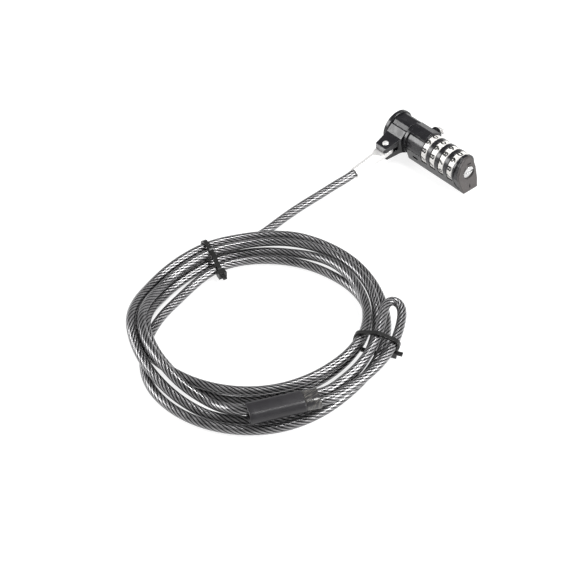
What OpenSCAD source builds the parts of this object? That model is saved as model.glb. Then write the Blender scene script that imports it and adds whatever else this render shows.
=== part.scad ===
// Four-dial combination cable lock: a lock head with a T-bar, a swivelling clevis,
// and a steel cable wound in a coil, with an eye folded back and crimped under a sleeve.
// Millimetres. +X runs from the push button to the nose, -Y is the cable side, and the
// base of the head stands on Z = 0, with the origin under the middle of the head.

/* [Head] */
// Length of the head from the end ring to the nose
head_l = 67; // [66:0.5:72]
// Height of the lock's axis above its base
axis_h = 12.75; // [12.75:0.25:16]
// Radius of the round end ring
ring_r = 12; // [11.3:0.1:12.4]
// Width of the end ring
ring_w = 3; // [2.5:0.25:5]
// Radius of the body's rounded corners
body_r = 11; // [10.8:0.1:11.3]
// Radius of the barrel that the swivel collar turns on
barrel_r = 8.6; // [8.4:0.1:9]
// Radius of the shoulder's round near side
shoulder_r = 9.4; // [9:0.1:10]
// Length of the nose behind the last dial
nose_l = 8.3; // [8.1:0.1:12]
// Thickness of the cap plate on the front of the nose
cap_t = 1.6; // [1.4:0.1:1.8]
// How far the front of the nose leans back for each millimetre of its height
rake = 0.2; // [0.15:0.01:0.22]

/* [Rail] */
// Width of the rail at the base
rail_base_w = 11; // [10:0.5:13]
// Width of the rail where it meets the dials
rail_top_w = 18.6; // [18:0.2:20]
// Height of the rail's sloping sides
rail_h = 10; // [9:0.25:11]
// Thickness of the cover under the rail
cover_t = 1.2; // [1:0.1:1.4]

/* [Dials] */
// Radius of a number dial
dial_r = 9.6; // [9:0.1:9.9]
// Width of a number dial
dial_w = 4.3; // [4.2:0.1:5.5]
// Gap beside a dial
dial_gap = 0.25; // [0.2:0.05:0.4]
// Thickness of the wall between two dials
rib_w = 2.6; // [2:0.1:4]
// Radius of the walls between the dials
rib_r = 9.8; // [8.6:0.1:10]
// Radius of the gated sleeve inside each dial
sleeve_r = 6; // [5.5:0.1:7]

/* [Locking shaft and button] */
// Radius of the shaft
shaft_r = 2.4; // [2.3:0.05:2.6]
// How far the button and the shaft slide
travel = 3; // [2.9:0.05:3.2]
// How far the button stands out of the end ring
button_out = 3.3; // [3.2:0.1:4.5]
// Radius of the button where it shows
button_r = 5.6; // [5:0.1:5.8]
// Radius of the button's skirt
skirt_r = 6.45; // [6.3:0.05:6.5]
// Thickness of the gate wall in a dial sleeve
gate_t = 1.6; // [1.4:0.05:1.65]
// Reach of a shaft lug from the axis
lug_r = 3.7; // [3.4:0.1:3.9]
// Width of a shaft lug
lug_w = 1.4; // [1.2:0.1:1.8]
// Thickness of a shaft lug
lug_t = 0.9; // [0.7:0.05:0.95]
// Wire diameter of the button's spring
spring_wire = 0.8; // [0.6:0.1:1]
// Number of curls in the button's spring
spring_curls = 5; // [4:1:6]

/* [T-bar] */
// Number of pinion teeth on the T-bar
pinion_teeth = 8; // [8:4:8]
// Height of the rack's pitch line above the shaft's axis
rack_up = 1.19; // [1.1:0.01:1.3]
// Radius of the T-bar's post
post_r = 2.2; // [2:0.1:2.3]
// Distance of the T-bar's tip from the lock's axis
tbar_reach = 16; // [15.75:0.25:20]
// Length of the cross bar that turns in the slot
cross_l = 5.8; // [5.6:0.1:6.8]
// Width of the cross bar
cross_w = 2.8; // [2.5:0.1:3]
// Thickness of the cross bar
cross_t = 1.4; // [1.2:0.1:1.6]
// Thickness of the slotted panel that the T-bar grips
panel_t = 1.4; // [1:0.1:2]

/* [Reset screw] */
// Radius of the screw's slotted head
screw_r = 4.1; // [3.8:0.1:4.2]
// Width of the screwdriver slot
slot_w = 1.2; // [0.8:0.1:1.6]

/* [Swivel collar and clevis] */
// Width of the swivel collar
collar_w = 12.8; // [12.4:0.2:15]
// Angle by which the clevis hangs below level
clevis_drop = 10; // [6:1:12]
// Reach of the clevis ears from the lock's axis
ear_reach = 24; // [23.5:0.25:27]
// Width of an ear at its root
ear_root_w = 11.7; // [11:0.1:12.2]
// Width of an ear at its tip
ear_tip_w = 9.4; // [9:0.1:10.4]
// Height of the clevis at its root, over both ears
clevis_root_h = 11.6; // [11:0.1:12]
// Height of the clevis at its tip, over both ears
clevis_tip_h = 8.8; // [8.4:0.1:10]
// Gap between the ears
ear_gap = 3; // [2.8:0.1:3.4]
// Distance of the rivet from the tip of the ears
rivet_in = 4.8; // [4.4:0.1:5]
// Distance of the rivet from the middle of the collar, towards the nose
rivet_shift = 0.8; // [0:0.1:1.2]
// Radius of the rivet
rivet_r = 1.3; // [1.1:0.1:1.5]
// Radius of the rivet's heads
rivet_head_r = 2; // [1.9:0.1:2.4]

/* [Ferrule] */
// Distance from the rivet to the cable end of the ferrule
ferrule_l = 28.3; // [26:0.1:28.3]
// Outer radius of the ferrule's tube
ferrule_r = 3.5; // [3.3:0.1:3.6]
// Width of the flat tongue
tongue_w = 8.8; // [8:0.1:8.8]
// Clearance of the tongue in the clevis, on each side
tongue_gap = 0.15; // [0.1:0.05:0.2]
// Length of cable that is crimped inside the ferrule
crimp_depth = 14; // [10:1:16]

/* [Cable] */
// Diameter of the coated cable
cable_d = 5.3; // [5:0.1:5.3]
// Diameter of the bare steel rope inside it
rope_d = 4; // [3:0.1:4.2]

/* [Eye sleeve] */
// Length of the sleeve over the crimp
sleeve_l = 39; // [36:1:40]
// Width of the sleeve
sleeve_w = 13.4; // [13:0.1:14]
// Height of the sleeve
sleeve_h = 8; // [7.8:0.1:8]
// Wall of the sleeve
sleeve_wall = 0.6; // [0.4:0.1:0.7]
// Length of the metal crimp inside it
crimp_l = 31; // [26:1:31]

/* [Cable ties] */
// Width of a tie's strap
tie_w = 2.6; // [2:0.1:3.5]
// Thickness of a tie's strap
tie_t = 1.1; // [0.8:0.1:1.1]
// Width of a tie's locking head
tie_head_w = 5; // [4:0.1:6]

/* [Hidden] */
$fn = 64;
dials = 4;
// clearances: on a turning or sliding fit, between loose neighbours, and past a cut face
fit = 0.06;
clear = 0.3;
eps = 0.01;

dial_pitch = dial_w + 2 * dial_gap + rib_w;
// the shoulder takes the length that the other parts of the head leave
shoulder_w = head_l - ring_w - collar_w - 2 * clear - dials * dial_pitch + rib_w - nose_l;
ring_x = -head_l / 2;
collar_x = ring_x + ring_w + clear;
shoulder_x = collar_x + collar_w + clear;
drum_x = shoulder_x + shoulder_w;
nose_x = drum_x + dials * dial_pitch - rib_w;
end_x = nose_x + nose_l;
function dial_x(k) = drum_x + dial_gap + dial_w / 2 + k * dial_pitch;

pocket_r = dial_r + 0.6;
cavity_r = lug_r + 0.5;
barrel_bore_r = skirt_r + 0.15;
spigot_r = (barrel_r + barrel_bore_r) / 2;
lip_t = 1;
spring_floor_x = shoulder_x - 0.9;
skirt_x = ring_x + lip_t + 0.1;
skirt_l = 3;
spring_r = (barrel_bore_r + shaft_r) / 2 - 0.1;

// the pinion turns a quarter while the shaft makes its whole travel
pinion_r = travel / (PI / 2);
tooth_pitch = 2 * PI * pinion_r / pinion_teeth;
tooth_add = 0.8 * tooth_pitch / PI;
tooth_ded = 1.1 * tooth_pitch / PI;
tooth_tip_w = 0.28 * tooth_pitch;
tooth_root_w = 0.42 * tooth_pitch;
pinion_w = 3;
tbar_x = drum_x - 6.4;
tbar_z = axis_h + rack_up + pinion_r;
bush_r = post_r + 1;
bush_flange_r = bush_r + 0.9;
bush_y = 5.5;
bush_out_y = body_r + 0.6;

screw_flange_r = screw_r + 0.8;
screw_flange_t = 1;
// the flange lies behind the leaning cap, and the head comes up to the cap's face
flange_x = end_x - cap_t - rake * (axis_h + screw_flange_r) - screw_flange_t - 0.07;
screw_face_x = end_x - rake * axis_h - 0.2;
stem_r = 3.4;
shaft_tip_x = nose_x + 0.6;
pin_r = 0.9;
pin_y = 4.4;
pin_z = 5;

clevis_x = collar_x + collar_w / 2;
rivet_at = ear_reach - rivet_in;
rivet_x = clevis_x + rivet_shift;
facet_angle = 45 + clevis_drop;
tongue_t = ear_gap - 2 * tongue_gap;
ear_slot_from = 13.4;
ferrule_end = rivet_at + ferrule_l;
tongue_to = ear_reach + 2.5;

detent_t = 0.4;
detent_w = 5;
cover_w = 6.8;
base_screw_r = 1;
base_screw_l = rail_h - 4.8;

// ---- shapes shared by several pieces ----

// a cylinder along X on the lock's axis
module axis_rod(r, x0, x1) {
    translate([x0, 0, axis_h]) rotate([0, 90, 0]) cylinder(h = x1 - x0, r = r);
}

// a cylinder along Y at the T-bar
module tbar_rod(r, y0, y1) {
    translate([tbar_x, y1, tbar_z]) rotate([90, 0, 0]) cylinder(h = y1 - y0, r = r);
}

// an outline drawn in Y and Z, extruded along X
module along_x(x0, x1) {
    translate([x0, 0, 0]) rotate([90, 0, 90]) linear_extrude(height = x1 - x0) children();
}

// the eight-sided section of the body and the collar, with rounded corners, turned by a
module body_section(a = 0) {
    intersection() {
        circle(r = body_r);
        rotate(a) circle(r = body_r + 0.4, $fn = 8);
    }
}

// the frame of the clevis: x as the head, y out along the clevis, z across its ears
module clevis_frame() {
    translate([0, 0, axis_h]) rotate([clevis_drop, 0, 0]) mirror([0, 1, 0]) children();
}

module rivet_rod(r, z0, z1) {
    translate([rivet_x, rivet_at, z0]) cylinder(h = z1 - z0, r = r);
}

// ---- the head ----

function mirrored(pts) = concat(pts, [for (i = [len(pts) - 1:-1:0]) [-pts[i][0], pts[i][1]]]);

rail_pts = [[rail_base_w / 2, 0], [rail_top_w / 2, rail_h]];
nose_top_z = axis_h + rib_r + 0.2;
// the nose is flatter on the T-bar's side, which goes against the computer
nose_pts = [
    [-rail_base_w / 2 - 0.1, 0],
    [rail_base_w / 2 + 1, 0],
    [rail_base_w / 2 + 1.5, 6],
    [rail_base_w / 2 + 1.1, rail_h],
    [6.3, axis_h + 1.25],
    [4.7, axis_h + 6.75],
    [2, nose_top_z],
    [-2.4, nose_top_z],
    [-6.7, axis_h + 6.1],
    [-rail_top_w / 2 + 0.2, axis_h + 1],
    [-rail_top_w / 2 + 0.2, rail_h]
];

// all that is ahead of, or behind, a plane that leans back with the front of the nose
module leaning(x) {
    translate([x, -20, 0]) rotate([0, -atan(rake), 0]) translate([0, 0, -10]) children();
}
module ahead_of(x) { leaning(x) cube([30, 40, 60]); }
module behind(x) { leaning(x) translate([-30, 0, 0]) cube([30, 40, 60]); }

// the frame of the rail's sloping cable side: x along it, y into it, z up it
module on_rail_side() {
    translate([0, -rail_base_w / 2, 0]) rotate([atan((rail_top_w - rail_base_w) / 2 / rail_h), 0, 0])
        rotate([90, 0, 0]) translate([0, 0, -1.4]) linear_extrude(height = 3) children();
}

module dial_pockets() {
    for (k = [0:dials - 1]) {
        axis_rod(pocket_r, dial_x(k) - dial_w / 2 - dial_gap, dial_x(k) + dial_w / 2 + dial_gap);
        translate([dial_x(k) - 1.2, -detent_w / 2 - 0.3, cover_t + 1]) cube([2.4, detent_w + 0.6, 4]);
    }
}

module shoulder() {
    axis_rod(body_r - 0.4, shoulder_x, shoulder_x + 1.9);
    axis_rod(shoulder_r, shoulder_x, drum_x);
    intersection() {
        along_x(shoulder_x, drum_x) translate([0, axis_h]) body_section();
        translate([shoulder_x, -6.3, axis_h - 2]) cube([shoulder_w - 0.6, 30, 30]);
    }
}

module housing() {
    color([0.09, 0.09, 0.1]) difference() {
        union() {
            axis_rod(barrel_r, ring_x + ring_w, shoulder_x + 1);
            axis_rod(spigot_r, ring_x + lip_t, ring_x + ring_w + 1);
            shoulder();
            axis_rod(rib_r, drum_x - 1, nose_x + 1);
            along_x(shoulder_x + 1.9, nose_x + 1) polygon(mirrored(rail_pts));
            along_x(nose_x, end_x) polygon(nose_pts);
        }
        dial_pockets();
        // bores for the button, the shaft, the dial walls and the reset screw
        axis_rod(barrel_bore_r, ring_x, spring_floor_x);
        axis_rod(shaft_r + fit, spring_floor_x - 1, nose_x);
        axis_rod(lug_r + 0.4, drum_x - 1.2, nose_x + 0.4);
        axis_rod(stem_r + fit, nose_x, end_x);
        axis_rod(screw_flange_r + 0.1, flange_x - 0.2, end_x);
        ahead_of(end_x - cap_t - 0.1);
        // cross bore for the T-bar, its pinion and its bush
        tbar_rod(pinion_r + tooth_add + 0.3, -pinion_w / 2 - 0.3, bush_y);
        tbar_rod(bush_r + fit, bush_y, 30);
        tbar_rod(bush_flange_r + fit, bush_out_y - 0.8 - fit, 30);
        tbar_rod(1 + fit, -5, 0);
        // seats for the cover, its screws and the detent spring
        translate([cover_x0 - 0.1, -cover_w / 2 - 0.1, -1])
            cube([cover_x1 - cover_x0 + 0.2, cover_w + 0.2, cover_t + 1]);
        translate([drum_x + 0.4, -detent_w / 2 - 0.3, 0])
            cube([nose_x - drum_x - 0.8, detent_w + 0.6, cover_t + 2.2]);
        for (x = base_screw_x) translate([x, 0, 0]) cylinder(h = base_screw_l + 0.3, r = base_screw_r + 0.02);
        for (s = [-1, 1]) translate([0, s * pin_y, 0]) nose_pin(0.02);
        // a slot and a curved groove in the cable side of the rail
        on_rail_side() {
            translate([tbar_x + 0.4, 5.6]) oblong(4.6, 2.4);
            polygon([
                [end_x - 7.2, 6.9], [end_x - 6.3, 6.9], [end_x - 6, 5], [end_x - 4.6, 3.6],
                [end_x - 3.1, 2.6], [end_x - 3.6, 1.8], [end_x - 5.3, 2.9], [end_x - 6.9, 4.6]
            ]);
        }
    }
}

cover_x0 = drum_x - 3.4;
cover_x1 = nose_x + 3;
base_screw_x = [cover_x0 + 1.9, cover_x1 - 1.9];

// an oblong outline l long and w wide, centred
module oblong(l, w) {
    square([l - w, w], center = true);
    for (s = [-1, 1]) translate([s * (l - w) / 2, 0]) circle(d = w);
}

module end_ring() {
    chamfer = 0.6;
    color([0.07, 0.07, 0.08]) translate([ring_x, 0, axis_h]) rotate([0, 90, 0]) rotate_extrude()
        polygon([
            [button_r + 0.1, 0], [ring_r - chamfer, 0], [ring_r, chamfer],
            [ring_r, ring_w - chamfer / 2], [ring_r - chamfer / 2, ring_w],
            [spigot_r + 0.03, ring_w], [spigot_r + 0.03, lip_t], [button_r + 0.1, lip_t]
        ]);
}

module nose_cap() {
    color([0.13, 0.12, 0.12]) difference() {
        along_x(nose_x + 1, end_x) polygon(nose_pts);
        behind(end_x - cap_t);
        ahead_of(end_x);
        axis_rod(screw_r + 0.15, nose_x, end_x + 1);
        axis_rod(screw_r + 0.35, end_x - rake * axis_h - 0.45, end_x + 1);
        for (s = [-1, 1]) translate([0, s * pin_y, 0]) nose_pin(0.02);
        // hook-shaped recess above the screw, and a short groove below it
        translate([end_x - rake * (axis_h + 6) - 0.5, -1.2, axis_h + 5.2]) cube([4, 3.2, 0.9]);
        translate([end_x - rake * 3 - 0.4, -0.4, 2]) cube([2, 0.8, 2.6]);
    }
}

module nose_pin(grow = 0) {
    translate([nose_x + 1.3, 0, pin_z]) rotate([0, 90, 0])
        cylinder(h = end_x - cap_t / 2 - rake * pin_z - nose_x - 1.3, r = pin_r + grow);
}

module nose_pins() {
    color("silver") for (s = [-1, 1]) translate([0, s * pin_y, 0]) nose_pin();
}

module base_cover() {
    color([0.1, 0.1, 0.1]) difference() {
        translate([cover_x0, -cover_w / 2, 0]) cube([cover_x1 - cover_x0, cover_w, cover_t]);
        for (x = base_screw_x) {
            translate([x, 0, -1]) cylinder(h = 4, r = base_screw_r + 0.05);
            translate([x, 0, -eps]) cylinder(h = 0.8, r1 = 1.85, r2 = base_screw_r + 0.05);
        }
    }
}

module base_screws() {
    color("silver") for (x = base_screw_x) translate([x, 0, 0.05]) difference() {
        union() {
            cylinder(h = base_screw_l, r = base_screw_r);
            cylinder(h = 0.7, r1 = 1.75, r2 = base_screw_r);
        }
        translate([-2, -0.2, -eps]) cube([4, 0.4, 0.35]);
    }
}

module detent_spring() {
    finger_z = axis_h - dial_r - 0.15;
    color("silver") {
        translate([drum_x + 0.7, -detent_w / 2, cover_t + 0.05])
            cube([nose_x - drum_x - 1.4, detent_w, detent_t]);
        for (k = [0:dials - 1]) translate([dial_x(k), detent_w / 2, 0]) rotate([90, 0, 0])
            linear_extrude(height = detent_w)
                polygon([[-0.9, cover_t + 0.4], [-0.3, finger_z], [0.3, finger_z], [0.9, cover_t + 0.4]]);
    }
}

// ---- dials ----

module dial_ring(k) {
    chamfer = 0.35;
    color([0.8, 0.8, 0.78]) translate([dial_x(k) - dial_w / 2, 0, axis_h]) rotate([0, 90, 0])
        rotate_extrude() polygon([
            [sleeve_r + 0.03, 0], [dial_r - chamfer, 0], [dial_r, chamfer],
            [dial_r, dial_w - chamfer], [dial_r - chamfer, dial_w], [sleeve_r + 0.03, dial_w]
        ]);
}

module dial_sleeve(k) {
    color([0.62, 0.55, 0.35]) difference() {
        axis_rod(sleeve_r, dial_x(k) - dial_w / 2, dial_x(k) + dial_w / 2);
        axis_rod(shaft_r + fit, dial_x(k) - dial_w, dial_x(k) + dial_w);
        axis_rod(cavity_r, dial_x(k) - dial_w, dial_x(k) - gate_t / 2);
        axis_rod(cavity_r, dial_x(k) + gate_t / 2, dial_x(k) + dial_w);
        // the gate that a lug passes when the code is set
        translate([dial_x(k) - 2, -lug_w / 2 - 0.15, axis_h]) cube([4, lug_w + 0.3, lug_r + 0.2]);
    }
}

// ---- shaft, button and T-bar ----

module rack_gap(i) {
    half_root = (tooth_pitch - tooth_root_w) / 2;
    half_tip = (tooth_pitch - tooth_tip_w) / 2;
    translate([tbar_x + i * tooth_pitch, pinion_w, axis_h + rack_up]) rotate([90, 0, 0])
        linear_extrude(height = 2 * pinion_w)
            polygon([[-half_root, -tooth_ded], [half_root, -tooth_ded],
                [half_tip, tooth_add + eps], [-half_tip, tooth_add + eps]]);
}

module locking_shaft() {
    rack_from = tbar_x - travel - 2.4 * tooth_pitch;
    rack_to = tbar_x + 2.4 * tooth_pitch;
    lug_back = gate_t / 2 + 0.2 + lug_t;
    color([0.7, 0.7, 0.72]) difference() {
        union() {
            axis_rod(shaft_r, skirt_x + skirt_l, shaft_tip_x);
            axis_rod(shaft_r - 0.4, skirt_x + 0.4, skirt_x + skirt_l + 1);
            for (k = [0:dials - 1])
                translate([dial_x(k) - lug_back, -lug_w / 2, axis_h]) cube([lug_t, lug_w, lug_r]);
        }
        translate([rack_from, -5, axis_h + rack_up + tooth_add]) cube([rack_to - rack_from, 10, 5]);
        for (i = [-4:2]) rack_gap(i);
    }
}

module push_button() {
    out_x = ring_x - button_out;
    color([0.16, 0.16, 0.17]) difference() {
        union() {
            translate([out_x, 0, axis_h]) rotate([0, 90, 0]) rotate_extrude() polygon([
                [0, 0.35], [button_r - 1.2, 0], [button_r - 0.7, 0], [button_r, 0.7],
                [button_r, skirt_x - out_x + 0.5], [0, skirt_x - out_x + 0.5]
            ]);
            axis_rod(skirt_r, skirt_x, skirt_x + skirt_l);
        }
        axis_rod(shaft_r - 0.37, skirt_x + 0.3, skirt_x + skirt_l + 1);
    }
}

module button_spring() {
    from_x = skirt_x + skirt_l + 0.1;
    to_x = spring_floor_x - 0.1;
    steps = 12;
    run = to_x - from_x - spring_wire;
    turns = spring_curls;
    pts = [for (i = [0:steps * turns])
        let (a = 360 * i / steps)
        [from_x + spring_wire / 2 + run * i / (steps * turns),
            spring_r * cos(a), axis_h + spring_r * sin(a)]];
    color("silver") wire(pts, spring_wire / 2, 6, [1, 0, 0]);
}

module pinion() {
    translate([tbar_x, pinion_w / 2, tbar_z]) rotate([90, 0, 0]) linear_extrude(height = pinion_w) {
        circle(r = pinion_r - tooth_ded);
        for (i = [0:pinion_teeth - 1]) rotate(360 * i / pinion_teeth - 90)
            polygon([
                [pinion_r - tooth_ded - 0.1, -tooth_root_w / 2], [pinion_r + tooth_add, -tooth_tip_w / 2],
                [pinion_r + tooth_add, tooth_tip_w / 2], [pinion_r - tooth_ded - 0.1, tooth_root_w / 2]
            ]);
    }
}

module t_bar() {
    neck_y = tbar_reach - cross_t - panel_t;
    color([0.78, 0.78, 0.8]) {
        pinion();
        tbar_rod(1, -4.8, -pinion_w / 2 + eps);
        tbar_rod(1.5, pinion_w / 2 - eps, bush_y + 1);
        tbar_rod(post_r, bush_y + 0.3, neck_y);
        tbar_rod(cross_w / 2, neck_y - eps, tbar_reach - cross_t + eps);
        intersection() {
            tbar_rod(cross_l / 2, tbar_reach - cross_t, tbar_reach);
            translate([tbar_x - cross_l, 0, tbar_z - cross_w / 2])
                cube([2 * cross_l, 2 * tbar_reach, cross_w]);
        }
    }
}

module t_bar_bush() {
    color([0.12, 0.12, 0.13]) difference() {
        union() {
            tbar_rod(bush_r, bush_y + 0.1, bush_out_y);
            tbar_rod(bush_flange_r, bush_out_y - 0.8, bush_out_y);
        }
        tbar_rod(post_r + fit, 0, 30);
    }
}

module reset_screw() {
    color([0.8, 0.8, 0.8]) difference() {
        union() {
            axis_rod(stem_r, nose_x + 0.5, flange_x + 0.5);
            axis_rod(screw_flange_r, flange_x, flange_x + screw_flange_t);
            axis_rod(screw_r, flange_x, screw_face_x);
        }
        axis_rod(shaft_r + fit, 0, shaft_tip_x + travel + 0.4);
        translate([screw_face_x - 0.8, -screw_r - 1, axis_h - slot_w / 2])
            cube([2, 2 * screw_r + 2, slot_w]);
    }
}

// ---- clevis, rivet and ferrule ----

function clevis_profile() = let (
        corner = [body_r * cos(facet_angle), body_r * sin(facet_angle)],
        root = clevis_root_h / 2,
        tip = clevis_tip_h / 2,
        root_y = corner[0] + (corner[1] - root) * tan(facet_angle - clevis_drop + 10)
    ) [corner, [root_y, root], [ear_reach - 1.3, tip + 0.15], [ear_reach, tip - 1.2]];

module swivel_collar() {
    half = [for (p = clevis_profile()) p];
    outline = concat([[0, half[0][1]]], half,
        [for (i = [len(half) - 1:-1:0]) [half[i][0], -half[i][1]]], [[0, -half[0][1]]]);
    root_w = ear_root_w / 2;
    tip_w = ear_tip_w / 2;
    color([0.08, 0.08, 0.09]) clevis_frame() difference() {
        union() {
            translate([collar_x, 0, 0]) rotate([90, 0, 90]) linear_extrude(height = collar_w)
                body_section(-clevis_drop);
            intersection() {
                translate([collar_x, 0, 0]) rotate([90, 0, 90]) linear_extrude(height = collar_w)
                    polygon(outline);
                translate([clevis_x, 0, -20]) linear_extrude(height = 40) polygon([
                    [-collar_w / 2, 0], [-collar_w / 2, 11], [-root_w, 12.5], [-tip_w, ear_reach - 1.4],
                    [-tip_w + 1.4, ear_reach], [tip_w - 1.4, ear_reach], [tip_w, ear_reach - 1.4],
                    [root_w, 12.5], [collar_w / 2, 11], [collar_w / 2, 0]
                ]);
            }
        }
        translate([-60, 0, 0]) rotate([0, 90, 0]) cylinder(h = 120, r = barrel_r + 0.08);
        translate([collar_x - 1, ear_slot_from, -ear_gap / 2]) cube([collar_w + 2, 20, ear_gap]);
        rivet_rod(rivet_r + 0.02, -10, 10);
    }
}

module rivet() {
    seat = clevis_tip_h / 2 + (clevis_root_h - clevis_tip_h) / 2 * (ear_reach - rivet_at) / 12;
    color([0.85, 0.85, 0.85]) clevis_frame() {
        rivet_rod(rivet_r, -seat - 0.3, seat + 0.3);
        for (s = [-1, 1]) scale([1, 1, s]) translate([rivet_x, rivet_at, seat + 0.25]) rotate_extrude()
            polygon([[0, 0], [rivet_head_r, 0], [rivet_head_r, 0.25], [rivet_head_r * 0.7, 0.6], [0, 0.75]]);
    }
}

module ferrule() {
    eye_r = tongue_w / 2;
    // the tongue's eye is round about the rivet, and its other end runs into the tube
    color([0.86, 0.86, 0.86]) clevis_frame() difference() {
        union() {
            translate([rivet_x, rivet_at, -tongue_t / 2]) cylinder(h = tongue_t, r = eye_r);
            translate([rivet_x - eye_r, rivet_at, -tongue_t / 2])
                cube([tongue_w, tongue_to - rivet_at, tongue_t]);
            hull() {
                translate([rivet_x - eye_r, tongue_to - 1, -tongue_t / 2]) cube([tongue_w, 1, tongue_t]);
                translate([rivet_x, tongue_to + 4, 0]) rotate([-90, 0, 0]) cylinder(h = 0.5, r = ferrule_r);
            }
            translate([rivet_x, tongue_to + 4, 0]) rotate([-90, 0, 0])
                cylinder(h = ferrule_end - tongue_to - 4, r = ferrule_r);
        }
        rivet_rod(rivet_r + 0.06, -10, 10);
        translate([rivet_x, ferrule_end - crimp_depth, 0]) rotate([-90, 0, 0])
            cylinder(h = crimp_depth + 1, r = rope_d / 2 + 0.03);
    }
}

module rope_end() {
    color("silver") clevis_frame() translate([rivet_x, ferrule_end - crimp_depth + 0.1, 0])
        rotate([-90, 0, 0]) cylinder(h = crimp_depth - 0.1, r = rope_d / 2);
}

// ---- cable ----

cable_r = cable_d / 2;
lane = cable_d + 0.5;
coil_at = [35, -178];
// the angle at which the first run of cable becomes the coil, and the coil's whole sweep
coil_from = 180;
coil_sweep = 4 * 360 + 120;
rings_per_loop = 24;
// the radius of each turn at every twelfth of a loop
turn_r = [
    [59, 63, 68.1, 64.2, 61, 59, 58.5, 62, 62.2, 60.9, 58.7, 55.8],
    [52.8, 56.9, 61.9, 60.2, 62.6, 59.8, 58.4, 61.2, 63.6, 57.3, 52.4, 49.4],
    [46.4, 47.8, 60, 75.2, 81.4, 80.8, 75, 74, 73.6, 72.8, 68.8, 63.3],
    [61.6, 64.6, 70.1, 72.2, 75.3, 74.6, 69, 68, 68.2, 67, 62.9, 57.4],
    [55.7, 58.7, 64.2, 66.6, 69.6]
];
// the layer that it lies in there, counted in lanes up from the floor
turn_layer = [
    [0, 0, 1, 1.05, 1.05, 1, 1, 1, 1, 1, 0.15, 0],
    [0, 0, 1.15, 0.05, 0, 0, 0, 0, 0, 0, 0, 0],
    [0, 0, 0, 0, 0, 0, 0, 0, 0, 0.5, 1, 1],
    [1, 1, 2.15, 1.1, 0.05, 0, 0, 0.05, 1, 1, 1, 1],
    [1, 1, 2.2, 2.05, 0.5]
];

// each tie lifts the cables that it is looped under
tie_angle = [168, 29];
tie_play = 0.35;
tie_lift = tie_t + tie_play + 0.02;

function wrap(a) = let (b = a - 360 * floor(a / 360)) b > 180 ? b - 360 : b;
function bump(a, at, half) = let (d = abs(wrap(a - at))) d >= half ? 0 : (1 + cos(180 * d / half)) / 2;
function tie_raise(a) = tie_lift * max([for (t = tie_angle) bump(a, t, 30)]);

// Catmull-Rom value at t between b and c
function blend(a, b, c, d, t) =
    b + 0.5 * t * (c - a + t * (2 * a - 5 * b + 4 * c - d + t * (3 * (b - c) + d - a)));
function station(table, i) = let (k = max(0, min(i, 52))) table[floor(k / 12)][k % 12];
function in_table(table, s) = let (i = floor(s), t = s - i)
    blend(station(table, i - 1), station(table, i), station(table, i + 1), station(table, i + 2), t);
function climb(table, s) = let (i = floor(s), t = s - i, a = station(table, i), b = station(table, i + 1))
    a + (b - a) * (1 - cos(180 * t)) / 2;

// the centre line of the coil at a degrees after its start
function coil_point(a) = let (w = coil_from + a, r = in_table(turn_r, a / 30)) [
    coil_at[0] + r * cos(w),
    coil_at[1] + r * sin(w),
    cable_r + lane * climb(turn_layer, a / 30) + tie_raise(w)
];

function unit(v) = v / norm(v);
function way(pts, i) = unit(pts[min(i + 1, len(pts) - 1)] - pts[max(i - 1, 0)]);

// a tube of n sides through the points, whose end faces are square to their last run
module wire(pts, r, n, up = [0, 0, 1]) {
    last = len(pts) - 1;
    rings = [for (i = [0:last])
        let (t = way(pts, i), side = unit(cross(up, t)), top = cross(t, side))
        for (j = [0:n - 1]) let (a = 360 * (j + 0.5) / n) pts[i] + r * (cos(a) * side + sin(a) * top)];
    skin = [for (i = [0:last - 1], j = [0:n - 1])
        let (a = i * n + j, b = i * n + (j + 1) % n)
        for (f = [[a, a + n, b], [b, a + n, b + n]]) f];
    caps = [for (j = [1:n - 2])
        for (f = [[0, j, j + 1], [last * n, last * n + j + 1, last * n + j]]) f];
    polyhedron(points = rings, faces = concat(skin, caps));
}

// points of a smooth curve through the route, with n steps between two of its points
function smooth(route, n) = let (last = len(route) - 1)
    concat([for (i = [0:last - 1], j = [0:n - 1])
        let (a = route[max(i - 1, 0)], b = route[i], c = route[i + 1], d = route[min(i + 2, last)])
        blend(a, b, c, d, j / n)], [route[last]]);

// the eye's sleeve: its middle, its direction, and how far each cable is from its middle line
sleeve_at = [99, -213.6, 10.4];
sleeve_dir = 66;
pair = 2.9;
function sleeve_point(along, out) = sleeve_at
    + along * [cos(sleeve_dir), sin(sleeve_dir), 0] + out * [sin(sleeve_dir), -cos(sleeve_dir), 0];

coil_path = concat(
    [for (i = [0:floor(coil_sweep * rings_per_loop / 360)]) coil_point(i * 360 / rings_per_loop)],
    [[79.5, -236.4, 8.6], sleeve_point(-sleeve_l / 2 - cable_r, -pair),
        sleeve_point(-sleeve_l / 2, -pair), sleeve_point(-crimp_l / 2 - 0.02, -pair)]
);
coil_start = coil_point(0);
coil_way = unit(coil_point(360 / rings_per_loop) - coil_start);

// from the ferrule, along the surface and under the turns to the coil's start
ferrule_out = [0, -cos(clevis_drop), -sin(clevis_drop)];
ferrule_mouth = [rivet_x, 0, axis_h] + ferrule_end * ferrule_out;
lead_route = concat(
    [ferrule_mouth, ferrule_mouth + cable_d * ferrule_out],
    [
        [-23.4, -62, 3.1], [-23, -77, 2.65], [-22.4, -93, 2.65], [-20.8, -110, 2.65],
        [-18.6, -126, 2.65], [-18.8, -140, 2.75], [-21.6, -155, 3.4]
    ],
    [for (k = [2:-1:0]) coil_start - k * cable_d * coil_way]
);

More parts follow.
